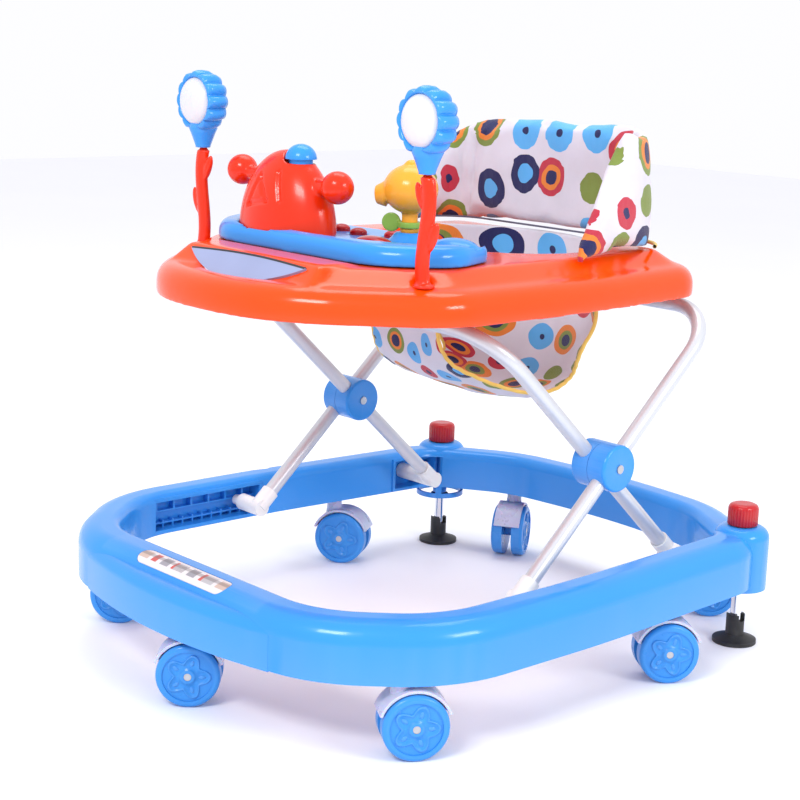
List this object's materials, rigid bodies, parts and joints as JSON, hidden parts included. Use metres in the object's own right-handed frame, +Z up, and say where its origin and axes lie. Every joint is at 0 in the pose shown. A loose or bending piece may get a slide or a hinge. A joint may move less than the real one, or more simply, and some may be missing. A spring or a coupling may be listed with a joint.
{
  "type": "baby walker",
  "caption": "Round-cornered baby walker: blue base ring on swivel casters, scissor legs that lower, tray with toy console, mirrors and a hung fabric seat.",
  "frame": {"origin": "point on the floor under the centre of the base ring, half way between its left and right casters", "axes": "+X to the seated child's left, +Y to the rear where the seat's back is, +Z up"},
  "size_m": [0.5883, 0.7014, 0.5979],
  "materials": {
    "blue_plastic": "glossy moulded",
    "orange_plastic": "glossy moulded",
    "hood_plastic": "satin, slightly translucent",
    "wheel_plastic": "satin moulded",
    "screw_steel": "bright zinc",
    "tube_enamel": "silver white enamel",
    "leg_end_plastic": "satin white",
    "red_plastic": "glossy moulded",
    "rod_chrome": "plated",
    "foot_rubber": "matt black",
    "label_film": "printed film",
    "lens_plastic": "smoky grey blue",
    "dark_red_plastic": "glossy moulded",
    "yellow_plastic": "glossy moulded",
    "green_plastic": "glossy moulded",
    "mirror_film": "pearly white dome",
    "seat_fabric": "printed cotton, padded"
  },
  "bodies": {
    "base": {"base_ring": "blue_plastic", "front_label": "label_film"},
    "caster_front": {"caster_housing_front": "hood_plastic"},
    "wheels_front": {"caster_wheels_front": "wheel_plastic", "caster_screw_front": "screw_steel"},
    "caster_front_left": {"caster_housing_front_left": "hood_plastic"},
    "wheels_front_left": {"caster_wheels_front_left": "wheel_plastic", "caster_screw_front_left": "screw_steel"},
    "caster_front_right": {"caster_housing_front_right": "hood_plastic"},
    "wheels_front_right": {"caster_wheels_front_right": "wheel_plastic", "caster_screw_front_right": "screw_steel"},
    "caster_side_left": {"caster_housing_side_left": "hood_plastic"},
    "wheels_side_left": {"caster_wheels_side_left": "wheel_plastic", "caster_screw_side_left": "screw_steel"},
    "caster_side_right": {"caster_housing_side_right": "hood_plastic"},
    "wheels_side_right": {"caster_wheels_side_right": "wheel_plastic", "caster_screw_side_right": "screw_steel"},
    "caster_rear_left": {"caster_housing_rear_left": "hood_plastic"},
    "wheels_rear_left": {"caster_wheels_rear_left": "wheel_plastic", "caster_screw_rear_left": "screw_steel"},
    "caster_rear_right": {"caster_housing_rear_right": "hood_plastic"},
    "wheels_rear_right": {"caster_wheels_rear_right": "wheel_plastic", "caster_screw_rear_right": "screw_steel"},
    "stopper_left": {"stopper_cap_left": "red_plastic", "stopper_rod_left": "rod_chrome", "stopper_foot_left": "foot_rubber"},
    "stopper_right": {"stopper_cap_right": "red_plastic", "stopper_rod_right": "rod_chrome", "stopper_foot_right": "foot_rubber"},
    "rear_legs": {"rear_leg_frame": "tube_enamel", "rear_leg_end_left": "leg_end_plastic", "rear_leg_end_right": "leg_end_plastic", "hub_inner_left": "blue_plastic", "hub_inner_right": "blue_plastic", "hub_bolts": "screw_steel"},
    "front_legs": {"front_leg_frame": "tube_enamel", "front_leg_end_left": "leg_end_plastic", "front_leg_end_right": "leg_end_plastic", "hub_outer_left": "blue_plastic", "hub_outer_right": "blue_plastic"},
    "tray": {"tray_shell": "orange_plastic", "windscreen": "lens_plastic", "rear_tube_clamps": "orange_plastic", "toy_console": "blue_plastic", "red_toy_body": "red_plastic", "mirror_stem_left": "red_plastic", "mirror_stem_right": "red_plastic", "seat_bucket": "seat_fabric", "seat_back": "seat_fabric"},
    "button_a_key": {"button_a": "red_plastic"},
    "button_b_key": {"button_b": "red_plastic"},
    "button_c_key": {"button_c": "red_plastic"},
    "button_big_key": {"button_big": "dark_red_plastic"},
    "red_toy_cap_key": {"red_toy_cap": "blue_plastic"},
    "bird": {"yellow_toy": "yellow_plastic", "yellow_toy_leaf": "green_plastic"},
    "mirror_head_left": {"mirror_frame_left": "blue_plastic", "mirror_dome_left": "mirror_film"},
    "mirror_head_right": {"mirror_frame_right": "blue_plastic", "mirror_dome_right": "mirror_film"}
  },
  "joints": [
    {"name": "swivel_front", "type": "hinge", "parent": "base", "child": "caster_front", "pos_m": [0.03, -0.309, 0.08], "axis": [0, 0, 1], "continuous": true},
    {"name": "roll_front", "type": "hinge", "parent": "caster_front", "child": "wheels_front", "pos_m": [0.02197, -0.31792, 0.0315], "axis": [0.7431, -0.6691, 0], "continuous": true},
    {"name": "swivel_front_left", "type": "hinge", "parent": "base", "child": "caster_front_left", "pos_m": [0.245, -0.2435, 0.08], "axis": [0, 0, 1], "continuous": true},
    {"name": "roll_front_left", "type": "hinge", "parent": "caster_front_left", "child": "wheels_front_left", "pos_m": [0.25118, -0.23321, 0.0315], "axis": [-0.8572, 0.515, 0], "continuous": true},
    {"name": "swivel_front_right", "type": "hinge", "parent": "base", "child": "caster_front_right", "pos_m": [-0.2315, -0.2456, 0.08], "axis": [0, 0, 1], "continuous": true},
    {"name": "roll_front_right", "type": "hinge", "parent": "caster_front_right", "child": "wheels_front_right", "pos_m": [-0.22301, -0.23711, 0.0315], "axis": [-0.7071, 0.7071, 0], "continuous": true},
    {"name": "swivel_side_left", "type": "hinge", "parent": "base", "child": "caster_side_left", "pos_m": [0.2585, 0.096, 0.08], "axis": [0, 0, 1], "continuous": true},
    {"name": "roll_side_left", "type": "hinge", "parent": "caster_side_left", "child": "wheels_side_left", "pos_m": [0.26538, 0.10583, 0.0315], "axis": [-0.8192, 0.5736, 0], "continuous": true},
    {"name": "swivel_side_right", "type": "hinge", "parent": "base", "child": "caster_side_right", "pos_m": [-0.2585, 0.096, 0.08], "axis": [0, 0, 1], "continuous": true},
    {"name": "roll_side_right", "type": "hinge", "parent": "caster_side_right", "child": "wheels_side_right", "pos_m": [-0.24855, 0.10271, 0.0315], "axis": [-0.5592, 0.829, 0], "continuous": true},
    {"name": "swivel_rear_left", "type": "hinge", "parent": "base", "child": "caster_rear_left", "pos_m": [0.15, 0.303, 0.08], "axis": [0, 0, 1], "continuous": true},
    {"name": "roll_rear_left", "type": "hinge", "parent": "caster_rear_left", "child": "wheels_rear_left", "pos_m": [0.15771, 0.31219, 0.0315], "axis": [-0.766, 0.6428, 0], "continuous": true},
    {"name": "swivel_rear_right", "type": "hinge", "parent": "base", "child": "caster_rear_right", "pos_m": [-0.15, 0.303, 0.08], "axis": [0, 0, 1], "continuous": true},
    {"name": "roll_rear_right", "type": "hinge", "parent": "caster_rear_right", "child": "wheels_rear_right", "pos_m": [-0.14346, 0.29294, 0.0315], "axis": [0.8387, 0.5446, 0], "continuous": true},
    {"name": "stopper_slide_left", "type": "slide", "parent": "base", "child": "stopper_left", "axis": [0, 0, 1], "range_m": [0, 0.022]},
    {"name": "stopper_slide_right", "type": "slide", "parent": "base", "child": "stopper_right", "axis": [0, 0, 1], "range_m": [0, 0.022]},
    {"name": "rear_legs_fold", "type": "hinge", "parent": "base", "child": "rear_legs", "pos_m": [0, 0.195, 0.102], "axis": [1, 0, 0], "range_deg": [0, 36.5]},
    {"name": "front_legs_fold", "type": "hinge", "parent": "rear_legs", "child": "front_legs", "pos_m": [0, 0.06745, 0.21888], "axis": [1, 0, 0], "range_deg": [-73, 0]},
    {"name": "tray_level", "type": "hinge", "parent": "front_legs", "child": "tray", "pos_m": [0, 0.22818, 0.36616], "axis": [1, 0, 0], "range_deg": [0, 36.5]},
    {"name": "button_a_press", "type": "slide", "parent": "tray", "child": "button_a_key", "axis": [0, 0, -1], "range_m": [0, 0.003], "stiffness_N_per_m": 400, "springref_m": -0.0006},
    {"name": "button_b_press", "type": "slide", "parent": "tray", "child": "button_b_key", "axis": [0, 0, -1], "range_m": [0, 0.003], "stiffness_N_per_m": 400, "springref_m": -0.0006},
    {"name": "button_c_press", "type": "slide", "parent": "tray", "child": "button_c_key", "axis": [0, 0, -1], "range_m": [0, 0.003], "stiffness_N_per_m": 400, "springref_m": -0.0006},
    {"name": "button_big_press", "type": "slide", "parent": "tray", "child": "button_big_key", "axis": [0, 0, -1], "range_m": [0, 0.003], "stiffness_N_per_m": 400, "springref_m": -0.0006},
    {"name": "red_toy_cap_press", "type": "slide", "parent": "tray", "child": "red_toy_cap_key", "axis": [0, 0, -1], "range_m": [0, 0.003], "stiffness_N_per_m": 400, "springref_m": -0.0006},
    {"name": "bird_turn", "type": "hinge", "parent": "tray", "child": "bird", "pos_m": [0.065, -0.088, 0.45], "axis": [0, 0, 1], "range_deg": [-90, 90]},
    {"name": "mirror_turn_left", "type": "hinge", "parent": "tray", "child": "mirror_head_left", "pos_m": [0.174, -0.167, 0.518], "axis": [0, 0, 1], "range_deg": [-45, 45]},
    {"name": "mirror_turn_right", "type": "hinge", "parent": "tray", "child": "mirror_head_right", "pos_m": [-0.174, -0.167, 0.518], "axis": [0, 0, 1], "range_deg": [-45, 45]}
  ],
  "couplings": [
    {"joint": "front_legs_fold", "follows": "rear_legs_fold", "ratio": -2},
    {"joint": "tray_level", "follows": "rear_legs_fold", "ratio": 1}
  ]
}
